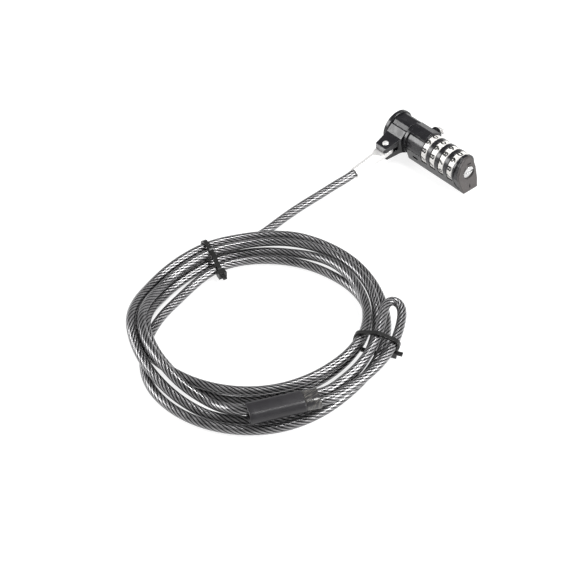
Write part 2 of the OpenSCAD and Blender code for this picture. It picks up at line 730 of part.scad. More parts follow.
// from the crimp out along the coil, round the eye, and back into the crimp
eye_route = concat(
    [for (l = [-crimp_l / 2, 0, crimp_l / 2, sleeve_l / 2, sleeve_l / 2 + cable_d]) sleeve_point(l, -pair)],
    [
        [106, -180, 9.8], [104.6, -166, 10.4], [101, -153, 11.4], [95.8, -142, 13],
        [89, -132.4, 14.6], [83.6, -124.8, 15], [81.6, -119, 14.8], [84.4, -115.8, 14],
        [89.6, -117, 13], [96.4, -124.6, 11.8], [103.6, -136, 10.8], [108.8, -150, 9.8],
        [111.4, -165, 9.4], [111.9, -180, 9.6]
    ],
    [for (l = [sleeve_l / 2 + cable_d, sleeve_l / 2, crimp_l / 2, 0, -crimp_l / 2]) sleeve_point(l, pair)]
);

// the least distance between the cable's skin on one turn and on another
function coil_gap() = let (pts = [for (a = [0:3:coil_sweep]) coil_point(a)])
    min([for (i = [60:len(pts) - 1], j = [0:i - 60]) norm(pts[i] - pts[j])]) - cable_d;
function run_gap(route, from) = min([for (p = smooth(route, 3), a = [from:3:coil_sweep - 60])
    norm(p - coil_point(a))]) - cable_d;
function path_length(pts, i = 1) = i >= len(pts) ? 0 : norm(pts[i] - pts[i - 1]) + path_length(pts, i + 1);

module cable_lead() {
    color([0.2, 0.2, 0.21]) wire(smooth(lead_route, 1), cable_r, 8);
}

module cable_coil() {
    echo(coil_gap = coil_gap(), lead_gap = run_gap(lead_route, 40), eye_gap = run_gap(eye_route, 0),
        length = path_length(lead_route) + path_length(coil_path) + path_length(smooth(eye_route, 3)));
    color([0.2, 0.2, 0.21]) wire(coil_path, cable_r, 6);
}

module cable_eye() {
    color([0.2, 0.2, 0.21]) wire(smooth(eye_route, 2), cable_r, 8);
}

module in_sleeve(l, w, h) {
    translate(sleeve_at) rotate([0, 0, sleeve_dir]) rotate([90, 0, 90])
        translate([0, 0, -l / 2]) linear_extrude(height = l) oblong(w, h);
}

module eye_sleeve() {
    color([0.17, 0.17, 0.18]) difference() {
        in_sleeve(sleeve_l, sleeve_w, sleeve_h);
        in_sleeve(sleeve_l + 2, sleeve_w - 2 * sleeve_wall, sleeve_h - 2 * sleeve_wall);
    }
}

module eye_crimp() {
    play = 0.05;
    color([0.75, 0.75, 0.76]) difference() {
        in_sleeve(crimp_l, sleeve_w - 2 * (sleeve_wall + play), sleeve_h - 2 * (sleeve_wall + play));
        for (s = [-1, 1]) translate(sleeve_point(-sleeve_l / 2, s * pair)) rotate([0, 0, sleeve_dir])
            rotate([0, 90, 0]) cylinder(h = sleeve_l, r = cable_r + play);
    }
}

// the centre of the cable a degrees round the coil as [out, up], and so for any point
function out_up(p) = [norm([p[0] - coil_at[0], p[1] - coil_at[1]]), p[2]];
function turns_at(w) = [for (k = [1:4]) out_up(coil_point(w - coil_from + 360 * k))];

// a tie looped round the cables whose centres are given, in the upright plane at an angle
module tie(angle, centres, head_at, head_turn) {
    translate([coil_at[0], coil_at[1], 0]) rotate([0, 0, angle]) {
        rotate([90, 0, 0]) translate([0, 0, -tie_w / 2]) linear_extrude(height = tie_w) difference() {
            tie_outline(centres, cable_r + tie_play + tie_t);
            tie_outline(centres, cable_r + tie_play);
        }
        translate([head_at[0], 0, head_at[1]]) rotate([0, head_turn, 0]) tie_head();
    }
}

module tie_outline(centres, r) {
    hull() for (c = centres) translate(c) circle(r = r, $fn = 32);
}

module tie_head() {
    translate([-2, -tie_head_w / 2, 0]) cube([4, tie_head_w, 3.6]);
    translate([-0.6, -tie_w / 2 + 0.1, 3.5]) cube([1.1, tie_w - 0.2, 3]);
}

module cable_tie_rear() {
    turns = turns_at(tie_angle[0]);
    inner = min([for (c = turns) c[0]]) - cable_r - tie_play - tie_t;
    color([0.06, 0.06, 0.06]) tie(tie_angle[0], concat(turns, [[60, 4.15]]), [inner + 0.3, 4.15], -90);
}

module cable_tie_front() {
    turns = turns_at(tie_angle[1]);
    legs = [[70.8, 12.8], [80, 10.7]];
    color([0.06, 0.06, 0.06]) tie(tie_angle[1], concat(turns, legs),
        [max([for (c = turns) c[0]]) + cable_r + tie_play + tie_t + 1.2, tie_lift + 3.1], 90);
}

housing();
end_ring();
nose_cap();
nose_pins();
base_cover();
base_screws();
detent_spring();
dial_ring(0);  // dial_ring_1
dial_ring(1);  // dial_ring_2
dial_ring(2);  // dial_ring_3
dial_ring(3);  // dial_ring_4
dial_sleeve(0);  // dial_sleeve_1
dial_sleeve(1);  // dial_sleeve_2
dial_sleeve(2);  // dial_sleeve_3
dial_sleeve(3);  // dial_sleeve_4
locking_shaft();
push_button();
button_spring();
t_bar();
t_bar_bush();
reset_screw();
swivel_collar();
rivet();
ferrule();
rope_end();
cable_lead();
cable_coil();
cable_eye();
eye_sleeve();
eye_crimp();
cable_tie_rear();
cable_tie_front();
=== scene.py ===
# A four-dial cable lock: the lock head with its T-bar and swivel clevis, and the coated
# steel cable that is wound in a coil and folded back into an eye under a shrink sleeve.
# +X runs from the push button to the nose, -Y is the cable side, +Z is up. The shapes are
# written in millimetres and made in metres, and the materials are written in metres.
import math

import bpy
import bmesh
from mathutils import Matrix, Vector


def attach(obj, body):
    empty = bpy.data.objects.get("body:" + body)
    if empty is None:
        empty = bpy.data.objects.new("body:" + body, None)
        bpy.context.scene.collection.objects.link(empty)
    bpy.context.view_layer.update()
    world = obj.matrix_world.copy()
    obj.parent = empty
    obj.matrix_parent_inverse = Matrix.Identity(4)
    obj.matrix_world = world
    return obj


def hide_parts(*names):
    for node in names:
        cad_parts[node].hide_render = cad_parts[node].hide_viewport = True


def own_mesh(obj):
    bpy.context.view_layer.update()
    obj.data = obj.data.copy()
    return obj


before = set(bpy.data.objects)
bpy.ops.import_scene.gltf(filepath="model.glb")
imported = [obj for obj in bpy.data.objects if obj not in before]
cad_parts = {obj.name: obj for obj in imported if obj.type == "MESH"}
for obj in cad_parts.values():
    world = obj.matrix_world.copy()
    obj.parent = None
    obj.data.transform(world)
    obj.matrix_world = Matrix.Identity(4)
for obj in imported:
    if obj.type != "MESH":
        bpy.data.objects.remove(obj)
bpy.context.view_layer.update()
mm = 0.001

# ---------------------------------------------------------------- camera
# A long lens looks down on the lock from beyond its nose, on the cable side, so that
# the head lies in the upper right and the coil fills the middle of the view.


def placed(name, data):
    """A new object in the scene, at the origin, from a mesh, a text, a lamp or a camera."""
    thing = bpy.data.objects.new(name, data)
    bpy.context.collection.objects.link(thing)
    return thing


look_turn, look_down = math.radians(48.79), math.radians(43.06)
look_way = Vector((
    -math.sin(look_turn) * math.cos(look_down),
    math.cos(look_turn) * math.cos(look_down),
    -math.sin(look_down),
))
camera = placed("camera", bpy.data.cameras.new("camera"))
camera.data.sensor_width, camera.data.lens = 36, 87.46
camera.data.clip_start, camera.data.clip_end = 0.02, 20
camera.location = (0.4562, -0.5280, 0.5442)
camera.rotation_mode = "QUATERNION"
camera.rotation_quaternion = look_way.to_track_quat("-Z", "Y")
bpy.context.scene.camera = camera

# ---------------------------------------------------------------- coated cable
# A galvanised steel rope, nine strands in a right-hand twist round its outside, drawn through
# a clear smoke-black plastic coat. It runs from the ferrule along the table, goes four and a
# third times round, and is folded back into an eye, whose end is held in the crimp.
cable_d = 5.3
cable_r = cable_d / 2
# the height of the dials' and the collar's axis over the table
axis_h = 12.75

# the coil's middle, and the angles in degrees where its turns begin and that they go round
coil_at = (35, -178)
coil_from = 180
coil_sweep = 4 * 360 + 120
coil_route_step = 15
# the radius of the turns, and their layer counted up from the table, at every station
station_step = 30
turn_radius = [
    59, 63, 68.1, 64.2, 61, 59, 58.5, 62, 62.2, 60.9, 58.7, 55.8,
    52.8, 56.9, 61.9, 60.2, 62.6, 59.8, 58.4, 61.2, 63.6, 57.3, 52.4, 49.4,
    46.4, 47.8, 60, 75.2, 81.4, 80.8, 75, 74, 73.6, 72.8, 68.8, 63.3,
    61.6, 64.6, 70.1, 72.2, 75.3, 74.6, 69, 68, 68.2, 67, 62.9, 57.4,
    55.7, 58.7, 64.2, 66.6, 69.6,
]
layer_h = cable_d + 0.5
turn_layer = [
    0, 0, 1, 1.05, 1.05, 1, 1, 1, 1, 1, 0.15, 0,
    0, 0, 1.15, 0.05, 0, 0, 0, 0, 0, 0, 0, 0,
    0, 0, 0, 0, 0, 0, 0, 0, 0, 0.5, 1, 1,
    1, 1, 2.15, 1.1, 0.05, 0, 0, 0.05, 1, 1, 1, 1,
    1, 1, 2.2, 2.05, 0.5,
]
# each tie has a strap under the turns, which lie on it in a low hump
tie_angle = (168, 29)
tie_lift, tie_reach = 1.47, 30


def curve_between(a, b, c, d, t):
    """A smooth curve from b to c, at t from 0 to 1, led by the points before and after."""
    return b + 0.5 * t * (c - a + t * (2 * a - 5 * b + 4 * c - d + t * (3 * (b - c) + d - a)))


def station(table, i):
    """The table's value at a station, or at its first or last one beyond the ends."""
    return table[max(0, min(i, len(table) - 1))]


def tie_raise(angle):
    """How far the ties hold the turns up at an angle."""
    most = 0
    for tie in tie_angle:
        away = abs((angle - tie + 180) % 360 - 180)
        if away < tie_reach:
            most = max(most, (1 + math.cos(math.pi * away / tie_reach)) / 2)
    return tie_lift * most


def coil_point(turned):
    """The point of the coil that is so many degrees on from its beginning."""
    s = turned / station_step
    i = math.floor(s)
    r = curve_between(*[station(turn_radius, k) for k in range(i - 1, i + 3)], s - i)
    low, high = station(turn_layer, i), station(turn_layer, i + 1)
    layer = low + (high - low) * (1 - math.cos(math.pi * (s - i))) / 2
    w = math.radians(coil_from + turned)
    return Vector((
        coil_at[0] + r * math.cos(w),
        coil_at[1] + r * math.sin(w),
        cable_r + layer_h * layer + tie_raise(coil_from + turned),
    ))


# the eye's sleeve: its middle, the way it points, its own and its crimp's length, and how
# far each leg of the eye lies from its middle line
sleeve_at = Vector((99, -213.6, 10.4))
sleeve_dir = math.radians(66)
sleeve_l, crimp_l, leg_out = 39, 31, 2.9


def sleeve_point(along, out, up=0):
    """A point in or on the sleeve, from its middle: along it, out to its right, and up."""
    c, s = math.cos(sleeve_dir), math.sin(sleeve_dir)
    return sleeve_at + Vector((along * c + out * s, along * s - out * c, up))


# the ferrule slopes down from the collar's axis to its mouth
ferrule_drop = math.radians(10)
ferrule_out = Vector((0, -math.cos(ferrule_drop), -math.sin(ferrule_drop)))
collar_x, mouth_reach = -23, 47.5
ferrule_mouth = Vector((collar_x, 0, axis_h)) + mouth_reach * ferrule_out
coil_start = coil_point(0)
coil_way = (coil_point(coil_route_step) - coil_start).normalized()

# from the ferrule to the coil, round the coil, through the crimp, and round the eye
route = [ferrule_mouth, ferrule_mouth + cable_d * ferrule_out]
route += [Vector(p) for p in (
    (-23.4, -62, 3.1), (-23, -77, 2.65), (-22.4, -93, 2.65), (-20.8, -110, 2.65),
    (-18.6, -126, 2.65), (-18.8, -140, 2.75), (-21.6, -155, 3.4),
)]
route += [coil_start - k * cable_d * coil_way for k in (2, 1)]
route += [coil_point(a) for a in range(0, coil_sweep + 1, coil_route_step)]
route += [Vector((79.5, -236.4, 8.6)), sleeve_point(-sleeve_l / 2 - cable_r, -leg_out)]
route += [sleeve_point(a, -leg_out) for a in (-17, -9, 0, 9, 17, sleeve_l / 2 + cable_d)]
route += [Vector(p) for p in (
    (106, -180, 9.8), (104.6, -166, 10.4), (101, -153, 11.4), (95.8, -142, 13),
    (89, -132.4, 14.6), (83.6, -124.8, 15), (81.6, -119, 14.8), (84.4, -115.8, 14),
    (89.6, -117, 13), (96.4, -124.6, 11.8), (103.6, -136, 10.8), (108.8, -150, 9.8),
    (111.4, -165, 9.4), (111.9, -180, 9.6),
)]
route += [sleeve_point(a, leg_out) for a in (sleeve_l / 2 + cable_d, 17, 9, 0, -8, -crimp_l / 2)]


def smooth_line(points, steps):
    """The points of a smooth curve through the route."""
    last = len(points) - 1
    line = []
    for i in range(last):
        a, b, c, d = (points[max(0, min(k, last))] for k in range(i - 1, i + 3))
        line += [curve_between(a, b, c, d, j / steps) for j in range(steps)]
    return line + [points[last]]


def even_line(points, step):
    """The same line with its points the same distance apart, and its length."""
    far = [0]
    for a, b in zip(points, points[1:]):
        far.append(far[-1] + (b - a).length)
    count = round(far[-1] / step)
    line, k = [], 0
    for i in range(count + 1):
        want = far[-1] * i / count
        while k < len(far) - 2 and far[k + 1] < want:
            k += 1
        run = far[k + 1] - far[k]
        line.append(points[k].lerp(points[k + 1], (want - far[k]) / run if run else 0))
    return line, far[-1]


def relaxed(line, times):
    """The line with its sharpest bends eased, each point drawn towards its neighbours."""
    for _ in range(times):
        eased = [0.25 * a + 0.5 * b + 0.25 * c for a, b, c in zip(line, line[1:], line[2:])]
        line = line[:1] + eased + line[-1:]
    return line


route_steps, point_gap, easings = 12, 1.35, 16
cable_line, _ = even_line(smooth_line(route, route_steps), point_gap)
cable_line, cable_length = even_line(relaxed(cable_line, easings), point_gap)
for p in cable_line:
    p.z = max(p.z, cable_r)


def piece_of(name, bm, *materials):
    """A finished mesh as a named piece in its materials."""
    mesh = bpy.data.meshes.new(name)
    bm.to_mesh(mesh)
    bm.free()
    for material in materials:
        mesh.materials.append(material)
    return placed(name, mesh)


def tube(name, line, radius, sides, material):
    """A round tube along a line in millimetres, with its angle and its run in metres as UV."""
    bm = bmesh.new()
    uv = bm.loops.layers.uv.new("UVMap")
    rings, runs, run = [], [], 0
    for i, p in enumerate(line):
        t = (line[min(i + 1, len(line) - 1)] - line[max(i - 1, 0)]).normalized()
        side = Vector((0, 0, 1)).cross(t).normalized()
        top = t.cross(side)
        if i:
            run += (p - line[i - 1]).length
        runs.append(run * mm)
        ring = []
        for j in range(sides):
            a = 2 * math.pi * j / sides
            ring.append(bm.verts.new((p + radius * (math.cos(a) * side + math.sin(a) * top)) * mm))
        rings.append(ring)
    for i in range(len(rings) - 1):
        for j in range(sides):
            k = (j + 1) % sides
            face = bm.faces.new((rings[i][j], rings[i][k], rings[i + 1][k], rings[i + 1][j]))
            face.smooth = True
            corners = ((j, i), (j + 1, i), (j + 1, i + 1), (j, i + 1))
            for loop, (u, v) in zip(face.loops, corners):
                loop[uv].uv = (u / sides, runs[v])
    bm.faces.new(list(reversed(rings[0])))
    bm.faces.new(rings[-1])
    bmesh.ops.recalc_face_normals(bm, faces=bm.faces)
    return piece_of(name, bm, material)


def new_material(name, color, roughness, metallic=0.0):
    """A material with one plain shader; the sockets that vary are joined afterwards."""
    material = bpy.data.materials.new(name)
    material.use_nodes = True
    shader = material.node_tree.nodes["Principled BSDF"]
    shader.inputs["Base Color"].default_value = (*color, 1)
    shader.inputs["Roughness"].default_value = roughness
    shader.inputs["Metallic"].default_value = metallic
    return material, material.node_tree, shader


def join(tree, node, inputs):
    """Joins each named input of a node to a socket, or sets it to a plain value."""
    for name, value in inputs.items():
        if isinstance(value, bpy.types.NodeSocket):
            tree.links.new(value, node.inputs[name])
        else:
            node.inputs[name].default_value = value


def put(tree, kind, inputs=None, **settings):
    """One node with its settings and its inputs."""
    node = tree.nodes.new(kind)
    for name, value in settings.items():
        setattr(node, name, value)
    join(tree, node, inputs or {})
    return node


def calc(tree, operation, *values):
    """A Math node on up to three sockets or numbers."""
    return put(tree, "ShaderNodeMath", dict(enumerate(values)), operation=operation).outputs[0]


def on_piece(tree):
    """Where a point is on its piece, in metres."""
    return put(tree, "ShaderNodeTexCoord").outputs["Object"]


def cloudy(tree, where, scale, detail, roughness=0.5):
    """A soft random pattern of so many spots a metre."""
    return put(tree, "ShaderNodeTexNoise", {
        "Vector": where, "Scale": scale, "Detail": detail, "Roughness": roughness,
    }).outputs["Fac"]


def spread(tree, value, low, high, at_low=0.0, at_high=1.0):
    """A value that goes from at_low to at_high while another goes from low to high."""
    return put(tree, "ShaderNodeMapRange", {
        "Value": value, "From Min": low, "From Max": high, "To Min": at_low, "To Max": at_high,
    }).outputs["Result"]


def color_mix(tree, mask, a, b):
    """A colour mixed from two by a mask; each is a plain colour or a socket."""
    a, b = ((*color, 1) if isinstance(color, tuple) else color for color in (a, b))
    # sockets 6 and 7 and output 2 are the node's colours
    return put(tree, "ShaderNodeMix", {0: mask, 6: a, 7: b}, data_type="RGBA").outputs[2]


def raised(tree, height, distance, **normal):
    """The surface raised by a height, over its own normal or the one given."""
    return put(tree, "ShaderNodeBump", {
        "Height": height, "Strength": 1, "Distance": distance, **normal}).outputs["Normal"]


# the coat is smooth and clear; the rope's strands show through it as rounded ridges, bright along
# their tops and black in between, and here and there duller or scuffed. The black on the strands'
# flanks and between them is partly the coat lying thicker in the grooves and partly painted shade.
strands, strand_step, strand_relief = 9, 0.0035, 0.0002
strand_waver, scuffs_per_metre = 0.25, 150
coat_and_shade_between_strands, strand_top = (0.004, 0.004, 0.005), (0.36, 0.355, 0.355)
coated_rope, tree, shader = new_material("coated_steel_rope", (0.2, 0.2, 0.2), 0.3)
round_and_along = put(tree, "ShaderNodeSeparateXYZ", {
    "Vector": put(tree, "ShaderNodeTexCoord").outputs["UV"]}).outputs
waver = cloudy(tree, on_piece(tree), scuffs_per_metre, 4)
twist = calc(tree, "SUBTRACT", calc(tree, "MULTIPLY", round_and_along["X"], strands),
             calc(tree, "DIVIDE", round_and_along["Y"], strand_step))
twist = calc(tree, "MULTIPLY_ADD", waver, strand_waver, twist)
across = calc(tree, "MULTIPLY_ADD", calc(tree, "FRACT", twist), 2, -1)
ridge = calc(tree, "SUBTRACT", 1, calc(tree, "MULTIPLY", across, across))
shine = spread(tree, calc(tree, "MULTIPLY_ADD", waver, 0.4, ridge), 0.78, 1.1)
# the black between the strands is thick smoke coat and painted shade
join(tree, shader, {
    "Base Color": color_mix(tree, shine, coat_and_shade_between_strands, strand_top),
    "Metallic": calc(tree, "MULTIPLY_ADD", shine, 0.6, 0.2),
    "Roughness": calc(tree, "MULTIPLY_ADD", waver, 0.3, 0.2),
    "Normal": raised(tree, ridge, strand_relief),
    "Specular IOR Level": 0.15,
    "Coat Weight": 0.8, "Coat Roughness": 0.05, "Coat IOR": 1.5,
    "Coat Tint": (0.8, 0.8, 0.82, 1),
})

cable_sides = 18
cable = tube("coated_cable", cable_line, cable_r, cable_sides, coated_rope)
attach(cable, "cable")
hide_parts("cable_lead", "cable_coil", "cable_eye")

# ---------------------------------------------------------------- eye sleeve and crimp
# An aluminium ferrule pressed over both legs of the eye, covered by a length of dark grey
# heat-shrink tube. A short clear collar, yellowed and streaky, shows at its eye end.


def shrink_tube(name, stations, wall, lip, material, rim=40):
    """A closed tube of flattened round section, from (along, width, height) outside sizes."""
    def section(along, width, height):
        r, flat = height / 2, (width - height) / 2
        points = []
        for j in range(rim):
            a = 2 * math.pi * (j + 0.5) / rim
            out = r * math.cos(a) + math.copysign(flat, math.cos(a))
            points.append(sleeve_point(along, out, r * math.sin(a)) * mm)
        return points

    first, last = stations[0], stations[-1]
    inside = ((last[0] - lip, last[1] - 2 * wall, last[2] - 2 * wall),
              (first[0] + lip, first[1] - 2 * wall, first[2] - 2 * wall))
    bm = bmesh.new()
    loops = [[bm.verts.new(p) for p in section(*size)] for size in (*stations, *inside)]
    for a, b in zip(loops, loops[1:] + loops[:1]):
        for j in range(rim):
            k = (j + 1) % rim
            bm.faces.new((a[j], a[k], b[k], b[j])).smooth = True
    bmesh.ops.recalc_face_normals(bm, faces=bm.faces)
    return piece_of(name, bm, material)


def new_group(name, inputs, outputs):
    """An empty node group with its number inputs and its named outputs."""
    group = bpy.data.node_groups.new(name, "ShaderNodeTree")
    for label, value in inputs.items():
        socket = group.interface.new_socket(label, in_out="INPUT", socket_type="NodeSocketFloat")
        socket.default_value = value
    for label, kind in outputs.items():
        group.interface.new_socket(label, in_out="OUTPUT", socket_type=kind)
    return group, put(group, "NodeGroupInput").outputs, put(group, "NodeGroupOutput")


# fine grain: mottling, an uneven roughness and a small relief, at the grain's own size
fine_grain, given, result = new_group(
    "fine_grain",
    {"Grains per metre": 2500, "Smoothest": 0.3, "Roughest": 0.4, "Relief": 0.00002},
    {"Mottle": "NodeSocketFloat", "Roughness": "NodeSocketFloat", "Normal": "NodeSocketVector"},
)
clouds_per_grain = 0.08
where = on_piece(fine_grain)
grains = cloudy(fine_grain, where, given["Grains per metre"], 3, 0.6)
clouds = cloudy(fine_grain, where, calc(
    fine_grain, "MULTIPLY", given["Grains per metre"], clouds_per_grain), 2)
join(fine_grain, result, {
    "Mottle": calc(fine_grain, "MULTIPLY_ADD", grains, 0.5,
                   calc(fine_grain, "MULTIPLY", clouds, 0.5)),
    "Roughness": spread(fine_grain, clouds, 0.35, 0.65, given["Smoothest"], given["Roughest"]),
    "Normal": raised(fine_grain, grains, given["Relief"]),
})


def grain_in(tree, grains, smoothest, roughest, relief=0.00002):
    """The fine grain, placed in a material with its own values."""
    return put(tree, "ShaderNodeGroup", {
        "Grains per metre": grains, "Smoothest": smoothest, "Roughest": roughest,
        "Relief": relief}, node_tree=fine_grain).outputs


def grained(name, color, second, smoothest, roughest, metallic=0.0, grains=2500,
            relief=0.00002):
    """A material whose colour runs between two by its grain, with the grain's relief."""
    material, tree, shader = new_material(name, color, roughest, metallic)
    grain = grain_in(tree, grains, smoothest, roughest, relief)
    join(tree, shader, {
        "Base Color": color_mix(tree, grain["Mottle"], color, second),
        "Roughness": grain["Roughness"],
        "Normal": grain["Normal"],
    })
    return material


# the tube lies close over the crimp, is a little waisted, and rolls in at both its ends
shrink_grey = grained("shrink_sleeve", (0.016, 0.015, 0.017), (0.03, 0.028, 0.032), 0.32, 0.44,
                      grains=1200, relief=0.00004)
sleeve = shrink_tube("shrink_sleeve", (
    (-19.5, 12.6, 7.2), (-19.2, 13.1, 7.7), (-18.6, 13.35, 7.95), (-16, 13.3, 7.9),
    (-15, 13.2, 7.85), (-8, 13.35, 7.95), (2, 13.3, 7.9), (10, 13.35, 7.95),
    (10.7, 13.3, 7.9), (11, 13, 7.6),
), wall=0.6, lip=0.1, material=shrink_grey)
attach(sleeve, "cable")
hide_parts("eye_sleeve")

# the collar's streaks run round it, so they are short along it and long across
streaks_along, streaks_across = 1400, 260
collar_plastic, tree, shader = new_material("clear_collar", (0.1, 0.1, 0.09), 0.2)
waves = cloudy(tree, put(tree, "ShaderNodeMapping", {
    "Vector": on_piece(tree), "Rotation": (0, 0, -sleeve_dir),
    "Scale": (streaks_along, streaks_across, streaks_across)}).outputs["Vector"], 1, 3)
streaks = spread(tree, waves, 0.45, 0.75)
join(tree, shader, {
    "Base Color": color_mix(tree, streaks, (0.035, 0.034, 0.036), (0.19, 0.18, 0.16)),
    "Roughness": calc(tree, "MULTIPLY_ADD", waves, 0.3, 0.1),
    "Coat Weight": 0.6,
})
clear_collar = shrink_tube("clear_collar", (
    (10.4, 12.7, 7.3), (12, 12.75, 7.35), (15, 12.8, 7.5), (19, 12.9, 7.55), (19.4, 12.6, 7.2),
), wall=0.5, lip=0.1, material=collar_plastic)
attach(clear_collar, "cable")


def dress(node, material):
    """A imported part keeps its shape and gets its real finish."""
    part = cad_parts[node]
    part.data.materials.clear()
    part.data.materials.append(material)
    return part


pressed_aluminium = grained("pressed_aluminium", (0.5, 0.5, 0.51), (0.68, 0.68, 0.69), 0.3, 0.5,
                            metallic=1.0)
crimp = dress("eye_crimp", pressed_aluminium)

# ---------------------------------------------------------------- cable ties
# Two black nylon ties hold the turns together, one by the lock and one over the eye's
# legs. Each strap is pulled through its locking head, and its tail is cut short.

# soft edges: the normal rounded over sharp edges, and a mask along them. The mask gives rubbed
# paint on the housing and the end ring, and painted shade along the nose cap's edges and round its
# screw
soft_edges, given, result = new_group(
    "soft_edges",
    {"Radius": 0.0002, "Wear and shade amount": 0.5},
    {"Wear and shade": "NodeSocketFloat", "Normal": "NodeSocketVector"},
)
bend_gain, wear_and_shade_patches_per_metre = 5, 420
rounded = put(soft_edges, "ShaderNodeBevel", {"Radius": given["Radius"]}, samples=6)
rounded = rounded.outputs["Normal"]
straight = put(soft_edges, "ShaderNodeVectorMath", {
    0: rounded, 1: put(soft_edges, "ShaderNodeNewGeometry").outputs["Normal"],
}, operation="DOT_PRODUCT").outputs["Value"]
bend = calc(soft_edges, "MULTIPLY", calc(soft_edges, "SUBTRACT", 1, straight), bend_gain)
wear_and_shade_patches = cloudy(soft_edges, on_piece(soft_edges), wear_and_shade_patches_per_metre, 4)
wear_and_shade_mask = calc(soft_edges, "MULTIPLY", bend, wear_and_shade_patches)
join(soft_edges, result, {
    "Wear and shade": put(soft_edges, "ShaderNodeClamp", {
        "Value": calc(soft_edges, "MULTIPLY", wear_and_shade_mask, given["Wear and shade amount"])}).outputs["Result"],
    "Normal": rounded,
})


def edges_in(tree, radius, wear_and_shade_amount=0.0):
    """The soft edges, placed in a material with its own values."""
    return put(tree, "ShaderNodeGroup", {"Radius": radius, "Wear and shade amount": wear_and_shade_amount},
               node_tree=soft_edges).outputs


nylon_edge = 0.00018
nylon_black = grained("nylon_black", (0.01, 0.01, 0.01), (0.028, 0.028, 0.028), 0.16, 0.28,
                      grains=1800)
tree = nylon_black.node_tree
join(tree, tree.nodes["Principled BSDF"], {"Normal": edges_in(tree, nylon_edge)["Normal"]})
tie_rear = dress("cable_tie_rear", nylon_black)
tie_front = dress("cable_tie_front", nylon_black)

# ---------------------------------------------------------------- head casting
# The housing is one zinc casting: barrel, shoulder, dial walls, rail and nose, sprayed
# satin black. Handling has rubbed the paint grey along its edges.


def painted(name, color, second, smoothest, roughest, wear_and_shade_color, wear_and_shade_amount, radius=0.00022, grains=3000,
            specular=0.5):
    """Sprayed paint: mottled, with soft edges and a second colour along them, which is rubbed paint
    on some parts and painted shade on others.
    """
    material, tree, shader = new_material(name, color, roughest)
    grain = grain_in(tree, grains, smoothest, roughest)
    edges = edges_in(tree, radius, wear_and_shade_amount)
    paint = color_mix(tree, grain["Mottle"], color, second)
    join(tree, shader, {
        "Base Color": color_mix(tree, edges["Wear and shade"], paint, wear_and_shade_color),
        "Roughness": grain["Roughness"],
        "Normal": edges["Normal"],
        "Specular IOR Level": specular,
    })
    return material


black_paint = painted("black_paint", (0.007, 0.007, 0.009), (0.019, 0.018, 0.021), 0.18, 0.3,
                      wear_and_shade_color=(0.3, 0.3, 0.3), wear_and_shade_amount=0.7, specular=0.6)
dress("housing", black_paint)

# ---------------------------------------------------------------- base cover
# A moulded black cover under the rail hides the dials' click spring. Two small
# countersunk screws hold it.
cover_plastic = grained("cover_plastic", (0.012, 0.012, 0.012), (0.028, 0.028, 0.028), 0.5, 0.62,
                        grains=1500, relief=0.00005)
dress("base_cover", cover_plastic)

metal_relief, metal_edge = 0.000006, 0.00012


def metal(name, color, second, smoothest, roughest, grains=2500, along=(1, 1, 1), metallic=1.0):
    """Metal or bright plating, with the grain of its making drawn out along one way."""
    material, tree, shader = new_material(name, color, roughest, metallic)
    grain = cloudy(tree, put(tree, "ShaderNodeMapping", {
        "Vector": on_piece(tree), "Scale": along}).outputs["Vector"], grains, 4)
    join(tree, shader, {
        "Base Color": color_mix(tree, grain, color, second),
        "Roughness": spread(tree, grain, 0.3, 0.7, smoothest, roughest),
        "Normal": raised(tree, grain, metal_relief, Normal=edges_in(tree, metal_edge)["Normal"]),
    })
    return material


plain_steel = metal("plain_steel", (0.5, 0.5, 0.5), (0.68, 0.67, 0.66), 0.22, 0.38)
dress("base_screws", plain_steel)
spring_steel = metal("spring_steel", (0.38, 0.38, 0.39), (0.55, 0.54, 0.53), 0.25, 0.4)
dress("detent_spring", spring_steel)

# ---------------------------------------------------------------- nose cap
# A separate cast cap closes the nose round the reset screw. It is blasted and sprayed, so it is
# mottled, browner and duller than the housing. Its edges and a ring round the screw are coloured
# near black, which is painted shade for the seam and the screw's recess. Two steel pins hold it.
cap_paint = painted("cap_paint", (0.006, 0.005, 0.005), (0.16, 0.144, 0.14), 0.3, 0.46,
                    wear_and_shade_color=(0.004, 0.004, 0.004), wear_and_shade_amount=2.5, radius=0.00045, grains=1100)
dress("nose_cap", cap_paint)
dress("nose_pins", plain_steel)

# ---------------------------------------------------------------- dials
# Four silver rings on gated brass sleeves. Each carries the ten figures in black ink,
# with a faint tick between them.
dial_silver = metal("dial_silver", (0.88, 0.865, 0.835), (0.96, 0.945, 0.915), 0.32, 0.44,
                    grains=900, along=(6, 1, 1), metallic=0.12)
dial_brass = metal("dial_brass", (0.62, 0.46, 0.2), (0.78, 0.62, 0.32), 0.25, 0.4)
figure_ink = grained("figure_ink", (0.004, 0.004, 0.004), (0.012, 0.011, 0.01), 0.3, 0.45)
tick_ink = grained("tick_ink", (0.3, 0.29, 0.28), (0.42, 0.41, 0.4), 0.4, 0.5)

dial_r = 9.6
dial_x = (0.6, 8, 15.4, 22.8)
# the angle of the figure 0 above the cable side on each dial
zero_at = (96, 93, 128, 89)
figure_turn = 36
# a figure's height, its width to that of a plain one, and its place nearer the button
figure_h, figure_w, figure_aside = 3.4, 1.4, 0.2
# half the length of a tick, and half its width in degrees
tick_half, tick_half_turn = 1.1, 0.45
ink_lift = 0.02
# the size of the lettering that gives figures one unit high, and how much bolder they are
lettering_size, bolder = 1.4, 0.045
# a figure is cut in slices, so that it bends round its dial
slice_w, slices_each_way = 0.08, 7


